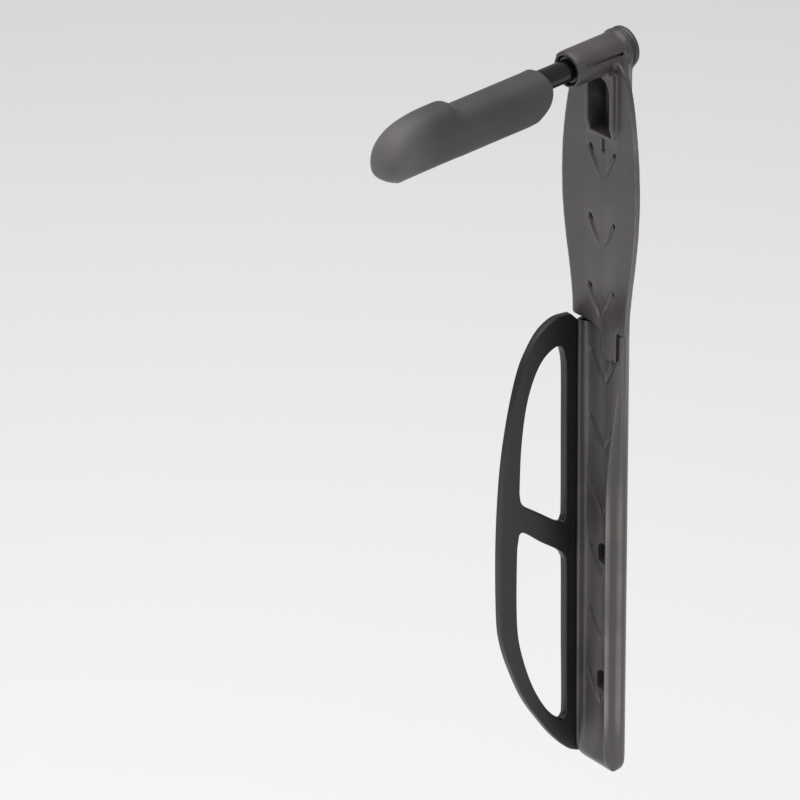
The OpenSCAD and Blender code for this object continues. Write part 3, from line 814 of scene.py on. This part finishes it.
@dataclass
class TyreRail:
    """The moulded rail: a shallow groove for the tyre between two rounded lips."""

    layout: Layout
    finish: MouldedNylon
    foot_in: float = 6.0
    foot_h: float = 12.0
    scoop_h: float = 26.0
    flare: float = 1.8
    lip_drop: float = 2.0
    undercut: float = 4.5
    lip_x: float = 7.0
    lip_w: float = 1.3
    lip_lean: float = 5.8
    shoulder_y: float = 10.9
    station_mm: float = 0.6
    floor_points: int = 26

    def spread(self, h: Array) -> Array:
        """How far the free lip has spread and dropped at a height, from 0 to 1."""
        return smooth_step(0.62, 1.0, h / self.layout.rail_len)

    def sections(self, h: Array) -> Array:
        """Outline of the rail at each height. Thirteen corners run from the middle of the
        back, round the free lip's shoulder, over that lip, across the two flanks of
        the groove, over the lip beside the loop and back.

        Args:
            h: Heights above the foot.

        Returns:
            Shape (heights, points, 2) of X and Y.
        """
        rail = self.layout
        r = rail.rail_half_w * 0.6
        into = np.clip((r - h) / r, 0.0, 1.0)
        narrow = r * (1.0 - np.sqrt(1.0 - into**2))
        rising = np.clip(1.0 - h / self.foot_h, 0.0, 1.0)
        lip = rail.lip_y - self.foot_in * (1.0 - np.sqrt(1.0 - np.minimum(rising, 0.998) ** 2))
        scoop = np.clip((self.scoop_h - h) / (self.scoop_h * 0.9), 0.0, 1.0) ** 2
        floor = rail.groove_y + (rail.lip_y - rail.groove_y - 0.4) * scoop
        floor = np.minimum(floor, lip - 0.05)
        s = self.spread(h)
        left = rail.rail_half_w - narrow
        right = left + self.flare * s
        lip_r = lip - self.lip_drop * s
        lip_out = np.minimum(self.lip_x + self.lip_lean * s + 4.5 * (rising**3), right - 0.7)
        inner_l, inner_r = left - rail.wall_t * 0.85, lip_out - self.lip_w
        rise_l = np.minimum(floor + rail.flank * inner_l, lip - 0.03)
        rise_r = np.minimum(floor + rail.flank * inner_r, lip_r - 0.03)
        back = np.full_like(h, rail.back_t)
        half = rail.lip_y / 2
        rows = [
            (np.zeros_like(h), back),
            (left - self.undercut, back),
            (left, np.minimum(half, lip - 0.5)),
            (right, np.minimum(self.shoulder_y, lip_r - 0.6)),
            (lip_out, lip_r),
            (inner_r, lip_r),
            (inner_r - 0.15, rise_r),
            (np.zeros_like(h), floor),
            (-inner_l + 0.15, rise_l),
            (-inner_l, lip),
            (-left, lip),
            (-left, np.minimum(half, lip - 0.5)),
            (-left + 2.0, back),
        ]
        corners = np.stack([np.stack([x, -y], axis=1) for x, y in rows], axis=1)
        radii = np.array([0.0, 0.6, 1.5, 0.9, 0.75, 0.6, 1.0, 1.6, 1.3, 0.8, 0.9, 1.5, 0.6])
        between = [0, 0, 1, 3, 0, 0, self.floor_points, self.floor_points, 0, 0, 1, 0, 0]
        return rounded_loops(corners, radii, 7, between)

    def build(self) -> bpy.types.Object:
        """Carry the section up the rail and press the tread marks and screw slots into
        the groove, as depths along Y.

        Returns:
            The rail piece.
        """
        rail = self.layout
        foot = [0.0, 0.12, 0.3, 0.5, 0.8, 1.2, 1.7, 2.3, 3.0]
        middle = np.arange(3.5, rail.rail_len - 0.3, self.station_mm)
        h = np.concatenate([foot, middle, [rail.rail_len - 0.25, rail.rail_len]])
        loops = self.sections(h)
        heights = np.broadcast_to(h[:, None], loops.shape[:2])
        x, y = loops[..., 0], loops[..., 1].copy()
        floor = np.zeros(loops.shape[1])
        first = 7 * 6 + 4
        last = first + 7 * 3 + 2 * self.floor_points
        floor[first:last] = 1.0
        edge = (self.lip_x + self.lip_lean * self.spread(h) - self.lip_w)[:, None]
        in_floor = floor[None, :] * (1.0 - smooth_step(8.2, 8.9, -x)) * (1.0 - smooth_step(-0.9, -0.2, x - edge))
        y += in_floor * rail.mark_depth(x, heights) * (heights > 18)
        for middle in rail.slot_h[:2]:
            away = rail.slot_away(x, heights, middle)
            y += in_floor * 6.5 * (1.0 - smooth_step(-0.35, 0.25, away))
        rings = rail.lifted(np.stack([x, y, heights], axis=2))
        piece = tube_piece("rail_skin", rings)
        # real tyre rub on the flanks of the groove
        rub_and_highlight = (smooth_step(5.0, 9.0, np.abs(x)) * (1 - smooth_step(9.4, 11.0, np.abs(x)))) * floor[None, :]
        # painted highlight on the outline's points: the shoulder, the free lip and the lip by the loop
        edges = np.zeros(loops.shape[1])
        edges[22:29], edges[32:39], edges[-30:-16] = 0.8, 1.0, 0.3
        # the painted edge highlights are strongest from 16 mm to about 165 mm up the rail and faint above
        where = smooth_step(16.0, 34.0, h) * (1.0 - smooth_step(118.0, 165.0, h))
        lip = edges[None, :] * (0.12 + 0.88 * where[:, None])
        # the attribute holds real tyre rub on the groove's flanks together with the painted edge highlights
        mark_vertices(piece, "rub_and_highlight", np.maximum(rub_and_highlight * 0.3, lip).ravel())
        dress(piece, self.finish.material())
        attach(piece, "frame")
        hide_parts("tyre_rail")
        return piece


@dataclass
class LeafHead:
    """The moulded head: a leaf-shaped plate with its bracket, collar and tongue."""

    layout: Layout
    finish: MouldedNylon
    half_w: float = 21.8
    spine_half_w: float = 9.0
    leg_half_w: float = 8.4
    collar_r: float = 7.4
    hood_r: float = 7.9
    mouth_r: float = 6.5
    flange_r: float = 8.7
    front_r: float = 6.05
    nose_len: float = 4.0
    front_deep: float = 4.6
    seam_up: float = 1.6
    seam_rise: float = 0.079
    seam_start: float = 7.4
    mouth_deep: float = 9.0
    recess_half_w: float = 6.0
    tongue_x: float = -1.2
    tongue_len: float = 15.0
    pitch: float = 0.44

    def half_width(self, h: Array) -> Array:
        """Half width of the leaf at each height, read off a smooth curve through the
        outline's control points."""
        top = self.layout.axis_h - self.layout.rail_len
        shares = np.array(
            [
                [0.73, 0.0], [0.745, 0.08], [0.81, 0.18], [0.9, 0.29], [0.975, 0.41], [1.0, 0.53],
                [0.975, 0.65], [0.9, 0.77], [0.79, 0.88], [0.66, 0.95], [0.45, 0.99],
            ]
        )
        curve = smooth_curve(shares * [self.half_w, top], 8, False)
        return np.interp(h - self.layout.rail_len, curve[:, 1], curve[:, 0])

    def leg_outline(self) -> Array:
        """Side view of the legs that run down from the collar, as Y and height."""
        top, leaf = self.layout.axis_h, self.layout.leaf_y
        low = top - self.collar_r
        return np.array(
            [
                [-6.0, top - 5], [-leaf - 4.2, top - 5], [-leaf - 3.6, low], [-leaf - 3.3, low - 22],
                [-leaf - 1.1, low - 29], [-6.0, low - 29],
            ]
        )

    def collar(self, p: Grid) -> Array:
        """Distance to the collar: a round bar, a wider half-round hood above a sloping
        plane, a rim with a groove round it at the wall, and a seam under the hood.

        Args:
            p: Grid of positions, heights above the foot.

        Returns:
            Distance at each position, negative inside.
        """
        lay = self.layout
        off, up = -p.y, p.z - lay.axis_h
        nose = 0.25 * np.clip((off - lay.collar_len + self.nose_len) / self.nose_len, 0.0, 1.0) ** 1.6
        lower = bar_field(p, self.collar_r - nose, 0.0, lay.collar_len, lay.axis_h)
        edge = self.seam_up + self.seam_rise * off - up
        hood = bar_field(p, self.hood_r - nose, 3.0, lay.collar_len, lay.axis_h)
        hood = blend_max(hood, edge, 0.4)
        collar = blend_min(lower, hood, 0.2)
        wide = 1.0 + 0.9 * smooth_step(10.0, 30.0, off)
        deep = 1.3 - 0.7 * smooth_step(lay.collar_len - self.front_deep - 1.0, lay.collar_len - self.front_deep, off)
        seam = np.maximum(self.collar_r - deep - np.abs(p.x), np.maximum(-edge, edge - wide))
        collar = blend_max(collar, -np.maximum(seam, self.seam_start - off), 0.2)
        rim = self.collar_r + (self.flange_r - self.collar_r) * smooth_step(7.6, 4.6, off)
        rim = rim - 1.2 * smooth_step(1.0, 0.45, np.abs(off - 2.9))
        return blend_min(collar, bar_field(p, rim, 0.0, 7.6, lay.axis_h), 0.3)

    def distance(self, p: Grid) -> Array:
        """Distance to the head. The leaf is a shallow V plate cut to the outline; the
        spine, tongue, bracket, collar and flange are joined to it with fillets; the
        bore, mouth, screw recess, slot, seam and marks are cut out of the result.

        Args:
            p: Grid of positions, heights above the foot.

        Returns:
            Distance at each position, negative inside.
        """
        lay = self.layout
        across = np.abs(p.x)
        face = lay.leaf_y + lay.flank * np.sqrt(across**2 + 1.0)
        plate = np.abs(p.y + face - lay.leaf_t / 2) - lay.leaf_t / 2
        edge = (across - self.half_width(p.z)) * 0.96
        foot = lay.rail_len + 0.1 - p.z
        leaf = blend_max(plate, blend_max(edge, foot, 2.2), 1.5)
        leaf = blend_max(leaf, p.z - lay.axis_h + 1.0, 1.0)
        slope = face - lay.leaf_t / 2
        narrow = np.clip(1.0 + p.y / 7.0, 0.0, 1.0) * 4.5
        spine = blend_max((across - self.spine_half_w + narrow) * 0.85, np.maximum(-p.y - slope, p.y), 0.8)
        spine = blend_max(spine, np.maximum(lay.rail_len - p.z, p.z - lay.axis_h + 2.0), 0.8)
        hollow = np.maximum(across - self.spine_half_w + lay.wall_t + narrow, -p.y - lay.leaf_y + 2.4)
        hollow = np.maximum(hollow, np.maximum(lay.rail_len + 4 - p.z, p.z - lay.axis_h + 58.0))
        rib = np.abs(p.z - lay.rail_len - 33.0) - 1.0
        spine = blend_max(spine, -np.maximum(hollow, -rib), 0.6)
        body = blend_min(leaf, spine, 1.2)
        tongue_w = lay.rail_half_w - lay.wall_t - 0.4
        low, near = lay.rail_len - self.tongue_len + 3.0, self.tongue_x + 3.0
        side_x = np.maximum(np.maximum(near - p.x, p.x - tongue_w + 3.0), 0.0)
        tongue = np.hypot(side_x, np.maximum(low - p.z, 0.0)) - 3.0
        tongue = blend_min(tongue, np.maximum(lay.rail_len - 0.6 - p.z, across - tongue_w), 9.0)
        tongue = np.maximum(np.maximum(tongue, across - tongue_w), p.z - lay.rail_len - 2)
        step = np.abs(p.y + face - lay.leaf_step / 2) - lay.leaf_step / 2
        body = blend_min(body, blend_max(tongue, step, 0.8), 1.0)
        side = outline_field(p.y[0, :, :], p.z[0, :, :], self.leg_outline())[None, :, :]
        legs = blend_max(side, across - self.leg_half_w, 1.3)
        top = lay.axis_h - self.collar_r - 0.6 - self.recess_half_w
        recess = np.hypot(p.x, np.maximum(p.z - top, 0.0)) - self.recess_half_w
        recess = np.maximum(recess, np.maximum(lay.slot_h[2] - 8 - p.z, p.y + 4.0))
        body = blend_max(blend_min(body, legs, 1.6), -recess, 0.9)
        body = blend_min(body, self.collar(p), 2.4)
        axis = np.hypot(p.x, p.z - lay.axis_h)
        mouth = np.maximum(axis - self.mouth_r, -p.y - self.mouth_deep)
        front = np.maximum(axis - self.front_r, lay.collar_len - self.front_deep + p.y)
        body = blend_max(body, -np.minimum(axis - 5.8, np.minimum(mouth, front)), 0.5)
        slot = lay.slot_away(p.x, p.z, lay.slot_h[2])
        slit = np.maximum(np.hypot(p.x, np.maximum(np.abs(p.z - 300.5) - 2.7, 0)) - 0.8, -p.y - 99)
        slit = np.maximum(slit, p.y + lay.leaf_y - 1.2)
        slot = np.maximum(slot, -p.y - 30)
        body = blend_max(body, -np.minimum(slot, slit), 0.4)
        marks = lay.mark_depth(p.x, p.z) * (p.z > lay.rail_len - 20) * (p.y < -lay.leaf_y + 1.2)
        return body + marks * 0.85

    def build(self) -> bpy.types.Object:
        """Mesh the head's surface.

        Returns:
            The head piece.
        """
        lay = self.layout
        grid = Grid(
            (
                spaced(-23.6, -11.0, 0.62, -11.0, 11.0, self.pitch, 23.6, 0.62),
                np.arange(-34.2, 1.6, self.pitch),
                spaced(lay.rail_len - 24, lay.axis_h - 44, 0.8, lay.axis_h - 44, lay.axis_h + 11, self.pitch),
            )
        )
        field_values = grid.full(self.distance(grid)).astype(np.float32)
        points, faces = grid.skin(field_values)
        points = relaxed(points, faces, 2)
        points[:, 1] = np.minimum(points[:, 1], 0.0)
        piece = new_piece("head_skin", lay.lifted(points), [faces], 50.0)
        edge = smooth_step(-1.6, -0.4, np.abs(points[:, 0]) - self.half_width(points[:, 2]))
        low = smooth_step(lay.axis_h - 14, lay.axis_h - 30, points[:, 2])
        front = points[:, 1] < -lay.leaf_y
        middle = (1 - smooth_step(5.0, 12.0, np.abs(points[:, 0]))) * smooth_step(290, 250, points[:, 2])
        mark_vertices(piece, "rub_and_highlight", (edge * low * 0.5 + middle * 0.18) * front)
        dress(piece, self.finish.material())
        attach(piece, "frame")
        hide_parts("leaf_head")
        return piece


@dataclass
class LockLoop:
    """The steel bracket: a D-shaped fin with two openings and its back plate."""

    layout: Layout
    finish: PowderCoat
    reach: float = 57.4
    thick: float = 3.5
    edge: float = 0.55

    def outlines(self) -> list[Array]:
        """Outer edge and the two openings, as Y and height.

        Returns:
            Three closed outlines.
        """
        lay = self.layout
        outer = np.array(
            [
                [-0.3, 1.013], [-0.45, 1.018], [-0.59, 1.004], [-0.7, 0.973], [-0.79, 0.93], [-0.885, 0.843],
                [-0.96, 0.73], [-1.0, 0.58], [-1.0, 0.42], [-0.97, 0.352], [-0.89, 0.283], [-0.76, 0.2],
                [-0.61, 0.133], [-0.47, 0.078], [-0.32, 0.032], [-0.2, 0.012],
            ]
        )
        upper = np.array(
            [
                [-0.366, 0.925], [-0.356, 0.88], [-0.356, 0.75], [-0.356, 0.6], [-0.366, 0.572], [-0.41, 0.568],
                [-0.6, 0.608], [-0.76, 0.643], [-0.8, 0.665], [-0.803, 0.7], [-0.785, 0.78], [-0.74, 0.855],
                [-0.67, 0.908], [-0.58, 0.942], [-0.47, 0.957], [-0.4, 0.952],
            ]
        )
        lower = np.array(
            [
                [-0.366, 0.485], [-0.352, 0.455], [-0.35, 0.3], [-0.345, 0.14], [-0.36, 0.112], [-0.41, 0.114],
                [-0.54, 0.153], [-0.67, 0.217], [-0.765, 0.288], [-0.822, 0.353], [-0.838, 0.42], [-0.834, 0.52],
                [-0.822, 0.568], [-0.78, 0.586], [-0.6, 0.545], [-0.43, 0.508],
            ]
        )
        size = np.array([self.reach, lay.rail_len])
        start = np.array([[-0.03, 0.014], [-0.03, 0.985], [-0.2, 0.985]])
        edge = np.vstack([start, smooth_curve(outer, 10, False)])
        return [edge * size, smooth_curve(upper, 10, True) * size, smooth_curve(lower, 10, True) * size]

    def build(self) -> list[bpy.types.Object]:
        """Fill the outlines with a plate whose edges are rounded, stand it beside the
        rail, and add the back plate, a flat bar with a rounded outer corner.

        Returns:
            The fin and the back plate.
        """
        lay = self.layout
        curve = bpy.data.curves.new("fin outline", "CURVE")
        curve.dimensions = "2D"
        curve.fill_mode = "BOTH"
        curve.extrude = (self.thick / 2 - self.edge) * MM
        curve.bevel_depth = self.edge * MM
        curve.bevel_resolution = 3
        curve.offset = -self.edge * MM
        for outline in self.outlines():
            line = curve.splines.new("POLY")
            line.points.add(len(outline) - 1)
            flat = np.zeros((len(outline), 4))
            flat[:, :2] = outline * MM
            flat[:, 3] = 1.0
            line.points.foreach_set("co", flat.ravel())
            line.use_cyclic_u = True
        drawn = bpy.data.objects.new("fin outline", curve)
        bpy.context.scene.collection.objects.link(drawn)
        bpy.context.view_layer.update()
        mesh = bpy.data.meshes.new_from_object(drawn.evaluated_get(bpy.context.evaluated_depsgraph_get()))
        bpy.data.objects.remove(drawn)
        middle = -(lay.rail_half_w + self.thick / 2) * MM
        turn = Matrix(((0, 0, 1, middle), (1, 0, 0, 0), (0, 1, 0, lay.foot_z * MM), (0, 0, 0, 1)))
        mesh.transform(turn)
        mesh.polygons.foreach_set("use_smooth", np.ones(len(mesh.polygons), bool))
        mesh.set_sharp_from_angle(angle=math.radians(50))
        fin = bpy.data.objects.new("loop_fin", mesh)
        bpy.context.scene.collection.objects.link(fin)
        low, high = 0.014 * lay.rail_len, 0.985 * lay.rail_len
        left, right = -lay.rail_half_w - self.thick, lay.rail_half_w - 7.5
        corners = np.array([[left, 0.0], [right, 0.0], [right, -lay.back_t], [left, -lay.back_t]])
        h = np.array([low, low + 0.3, high - 0.3, high])
        inset = np.array([0.3, 0.0, 0.0, 0.3])[:, None, None]
        centre = corners.mean(axis=0)
        loops = corners[None] - np.sign(corners - centre)[None] * inset
        rings = rounded_loops(loops, np.array([1.4, 0.5, 0.5, 0.5]), 6, [1, 1, 1, 1])
        heights = np.broadcast_to(h[:, None], rings.shape[:2])
        plate = tube_piece("loop_back_plate", lay.lifted(np.stack([rings[..., 0], rings[..., 1], heights], axis=2)))
        material = self.finish.material()
        for piece in (fin, plate):
            dress(piece, material)
            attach(piece, "frame")
        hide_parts("lock_bracket")
        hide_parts("lock_bracket")
        return [fin, plate]


@dataclass
class HookSleeve:
    """The padded sleeve: flat-sided, rounded above and below, with a raised tip."""

    layout: Layout
    finish: SoftRubber
    reach: float = 130.5
    length: float = 85.0
    half_w: float = 8.5
    rise: float = 3.4
    around: int = 128

    def side_lines(self, off: Array) -> tuple[Array, Array]:
        """Top and bottom of the sleeve at each distance off the wall.

        Args:
            off: Distances off the wall.

        Returns:
            Heights of the top and of the bottom, above the foot.
        """
        lay = self.layout
        top = lay.axis_h + lay.rod_r + 0.8
        low = lay.axis_h - lay.rod_r - 2.6 - self.half_w
        y0, y1 = self.reach - self.length, self.reach
        upper = np.array(
            [
                [y0, top - 7.0], [y0 + 0.15, top - 3.6], [y0 + 0.9, top - 1.2], [y0 + 2.6, top - 0.1], [y0 + 6, top],
                [y1 - 42, top], [y1 - 39.5, top + 0.3], [y1 - 37.3, top + self.rise * 0.5],
                [y1 - 34.5, top + self.rise * 0.93], [y1 - 30, top + self.rise], [y1 - 20, top + self.rise * 0.85],
                [y1 - 11, top + self.rise * 0.2], [y1 - 5, top - 4.0], [y1 - 1.4, top - 9.5], [y1 - 0.2, top - 13.5],
                [y1, top - 15.5],
            ]
        )
        lower = np.array(
            [
                [y0, low + 11.0], [y0 + 0.4, low + 8.0], [y0 + 2.2, low + 4.0], [y0 + 5.2, low + 1.3], [y0 + 9.5, low],
                [y0 + 30, low], [y1 - 12, low], [y1 - 6.5, low + 0.5], [y1 - 2.2, low + 2.6], [y1 - 0.3, low + 4.6],
                [y1, low + 6.0],
            ]
        )
        up = smooth_curve(upper, 12, False)
        down = smooth_curve(lower, 12, False)
        return (
            np.interp(off, np.maximum.accumulate(up[:, 0]), up[:, 1]),
            np.interp(off, np.maximum.accumulate(down[:, 0]), down[:, 1]),
        )

    def build(self) -> bpy.types.Object:
        """Carry a rounded section along the rod. At each station the section is a
        superellipse, as wide as the plan allows and as tall as the side lines allow,
        and the back end closes onto the rod.

        Returns:
            The sleeve piece.
        """
        lay = self.layout
        y0, y1 = self.reach - self.length, self.reach
        s = np.linspace(0.0, 1.0, 210)
        off = y0 + (y1 - y0) * (0.5 - 0.5 * np.cos(np.pi * s))
        top, low = self.side_lines(off)
        plan = np.clip((y1 - off) / self.half_w, 0.0, 1.0)
        wide = self.half_w * np.sqrt(1.0 - (1.0 - plan) ** 2.2)
        back = np.clip((off - y0) / 2.6, 0.0, 1.0)
        wide = wide * (0.78 + 0.22 * np.sqrt(1.0 - (1.0 - back) ** 2))
        angle = np.linspace(0.0, 2 * np.pi, self.around, endpoint=False)[None, :]
        cos, sin = np.cos(angle), np.sin(angle)
        power = 2.0 / 2.35
        tall = (top - low) / 2
        x = wide[:, None] * np.sign(cos) * np.abs(cos) ** power
        z = ((top + low) / 2)[:, None] + tall[:, None] * np.sign(sin) * np.abs(sin) ** power
        y = np.broadcast_to(-off[:, None], x.shape)
        rings = lay.lifted(np.stack([x, y, z], axis=2))
        eye = (lay.rod_r + 0.05) * np.stack([cos[0], np.zeros_like(cos[0]), sin[0]], axis=1)
        eye += np.array([0.0, -y0, lay.axis_h + lay.foot_z])
        rings = np.concatenate([eye[None], rings])
        piece = tube_piece("sleeve_skin", rings, 60.0)
        # painted highlight: the tip is marked to be paler where it faces the light
        tip = smooth_step(y1 - 30, y1 - 6, off)[:, None] * np.ones_like(x)
        mark_vertices(piece, "tip_highlight", np.concatenate([np.zeros(self.around), tip.ravel()]))
        dress(piece, self.finish.material())
        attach(piece, "hook")
        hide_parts("hook_sleeve")
        return piece


@dataclass
class HookRod:
    """The rod and its stop ring, turned about the hook's axis."""

    layout: Layout
    finish: GlossEnamel
    shoulder: float = 7.7
    end: float = 118.5
    ring_at: float = 28.7
    ring_t: float = 2.0
    ring_r: float = 5.9

    def build(self) -> list[bpy.types.Object]:
        """Turn the rod's stepped profile, closed on the axis at both ends, and the
        ring's rounded one.

        Returns:
            The rod and the ring.
        """
        lay = self.layout
        axis_z = lay.axis_h + lay.foot_z
        r = lay.rod_r
        rod = np.array(
            [
                [0.8, 0.05], [0.8, 2.6], [1.2, 3.0], [self.shoulder, 3.0], [self.shoulder, r - 0.4],
                [self.shoulder + 0.4, r], [30.0, r], [60.0, r], [self.end, r], [self.end + 1.5, r - 1.5],
                [self.end + 1.5, 0.05],
            ]
        )
        a, t, big = self.ring_at, self.ring_t, self.ring_r
        ring = np.array(
            [[a, r], [a, big - 0.5], [a + 0.5, big], [a + t - 0.5, big], [a + t, big - 0.5], [a + t, r]]
        )
        pieces = [turned_piece("rod_skin", rod, axis_z), turned_piece("stop_ring_skin", ring, axis_z)]
        material = self.finish.material()
        for piece, node in zip(pieces, ("hook_rod", "stop_ring")):
            dress(piece, material)
            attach(piece, "hook")
            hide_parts(node)
        return pieces


@dataclass
class Hardware:
    """Bushes, washers, nut, pin and screws, which keep their exact shapes."""

    zinc: ZincPlate
    acetal: BlackAcetal
    zinc_nodes: tuple[str, ...] = (
        "rail_screws", "head_screws", "sleeve_pin", "rear_washer", "wave_washer", "lock_nut",
    )
    acetal_nodes: tuple[str, ...] = ("front_bush", "rear_bush")

    def build(self, nodes: dict[str, bpy.types.Object]) -> None:
        """Dress the small pieces.

        Args:
            nodes: The frame's objects by name.
        """
        for names, material in ((self.zinc_nodes, self.zinc.material()), (self.acetal_nodes, self.acetal.material())):
            for name in names:
                dress(nodes[name], material)


@dataclass
class Studio:
    """Pale floor, soft lights and the camera."""

    azimuth_deg: float = 46.7
    elevation_deg: float = 30.6
    view_mm: float = 322.5
    lens_mm: float = 200.0
    target_mm: tuple[float, float, float] = (0.0, -45.0, 17.7)
    shift_x: float = -0.177
    shift_y: float = 0.0
    floor_drop: float = 420.0

    def direction(self, azimuth: float, elevation: float) -> Vector:
        """Unit vector from the target towards a viewer at those angles in degrees."""
        a, e = math.radians(azimuth), math.radians(elevation)
        return Vector((math.sin(a) * math.cos(e), -math.cos(a) * math.cos(e), math.sin(e)))

    def place(self, thing: bpy.types.Object, azimuth: float, elevation: float, far_mm: float) -> None:
        """Stand a light or camera off from the target and point it there."""
        target = Vector(self.target_mm) * MM
        away = self.direction(azimuth, elevation)
        thing.location = target + away * far_mm * MM
        thing.rotation_euler = away.to_track_quat("Z", "Y").to_euler()

    def lamp(
        self, name: str, azimuth: float, elevation: float, size: tuple[float, float], watts: float,
        far_mm: float = 1500.0,
    ) -> None:
        """Add a soft rectangular light.

        Args:
            name: Name of the light.
            azimuth: Degrees round from facing the wall.
            elevation: Degrees above level.
            size: Width and height in metres.
            watts: Power.
            far_mm: Distance from the target.
        """
        data = bpy.data.lights.new(name, "AREA")
        data.shape = "RECTANGLE"
        data.size, data.size_y = size
        data.energy = watts
        lamp = bpy.data.objects.new(name, data)
        bpy.context.scene.collection.objects.link(lamp)
        self.place(lamp, azimuth, elevation, far_mm)

    def floor(self) -> bpy.types.Object:
        """Lay a large pale floor well below the rack, a slightly dished sheet on a
        grid whose height is the square of the distance from the middle."""
        side = np.linspace(-6000.0, 6000.0, 41)
        x, y = np.meshgrid(side, side, indexing="ij")
        z = -self.floor_drop + (x**2 + y**2) / 9.0e5
        points = np.stack([x, y, z], axis=2).reshape(-1, 3)
        i, j = np.meshgrid(np.arange(40), np.arange(40), indexing="ij")
        at = (i * 41 + j).ravel()
        floor = new_piece("studio_floor", points, [np.stack([at, at + 41, at + 42, at + 1], axis=1)])
        paper = bpy.data.materials.new("matt white studio paper")
        paper.use_nodes = True
        shader = paper.node_tree.nodes["Principled BSDF"]
        shader.inputs["Base Color"].default_value = linear("#f7f7f6")
        shader.inputs["Roughness"].default_value = 0.9
        dress(floor, paper)
        return floor

    def build(self) -> None:
        """Set up the surroundings, lights and camera."""
        world = bpy.data.worlds.new("soft white surround")
        world.use_nodes = True
        world.node_tree.nodes["Background"].inputs["Color"].default_value = linear("#ffffff")
        world.node_tree.nodes["Background"].inputs["Strength"].default_value = 0.4
        bpy.context.scene.world = world
        self.floor()
        self.lamp("key softbox", -35.0, 42.0, (1.0, 1.4), 4.0)
        self.lamp("side strip", 105.0, 20.0, (0.25, 1.6), 1.6)
        self.lamp("top fill", 0.0, 84.0, (2.0, 2.0), 25.0)
        self.lamp("low strip, left", -14.0, -28.0, (0.05, 0.6), 0.75, 650.0)
        self.lamp("low strip, right", 84.0, -28.0, (0.05, 0.6), 0.75, 650.0)
        data = bpy.data.cameras.new("camera")
        data.lens = self.lens_mm
        data.sensor_width = 36.0
        data.shift_x, data.shift_y = self.shift_x, self.shift_y
        data.clip_end = 50.0
        camera = bpy.data.objects.new("camera", data)
        bpy.context.scene.collection.objects.link(camera)
        self.place(camera, self.azimuth_deg, self.elevation_deg, self.view_mm * self.lens_mm / 36.0)
        bpy.context.scene.camera = camera
        bpy.context.scene.view_settings.view_transform = "Standard"


def read_layout() -> Layout:
    """Work out the shared heights from the frame's boxes."""
    low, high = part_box("tyre_rail")
    rod_low, rod_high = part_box("hook_rod")
    foot = low.z / MM
    return Layout(
        foot_z=foot,
        axis_h=(rod_low.z + rod_high.z) / 2 / MM - foot,
        rail_len=(high.z - low.z) / MM,
    )


def main() -> None:
    """Load the frame, build the looks round it and note both boxes."""
    logging.basicConfig(level=logging.INFO, format="%(message)s")
    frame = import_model()
    layout = read_layout()
    LOG.info("foot %.1f, axis %.1f, rail %.1f", layout.foot_z, layout.axis_h, layout.rail_len)
    LOG.info("rail: %s", TyreRail(layout, MouldedNylon("glass-filled nylon, rail")).build().name)
    LOG.info("head: %s", LeafHead(layout, MouldedNylon("glass-filled nylon, head", body="#383532")).build().name)
    LOG.info("loop: %s", [p.name for p in LockLoop(layout, PowderCoat()).build()])
    LOG.info("sleeve: %s", HookSleeve(layout, SoftRubber()).build().name)
    LOG.info("rod: %s", [p.name for p in HookRod(layout, GlossEnamel()).build()])
    Hardware(ZincPlate(), BlackAcetal()).build(frame["nodes"])
    Studio().build()


if __name__ == "__main__":
    main()
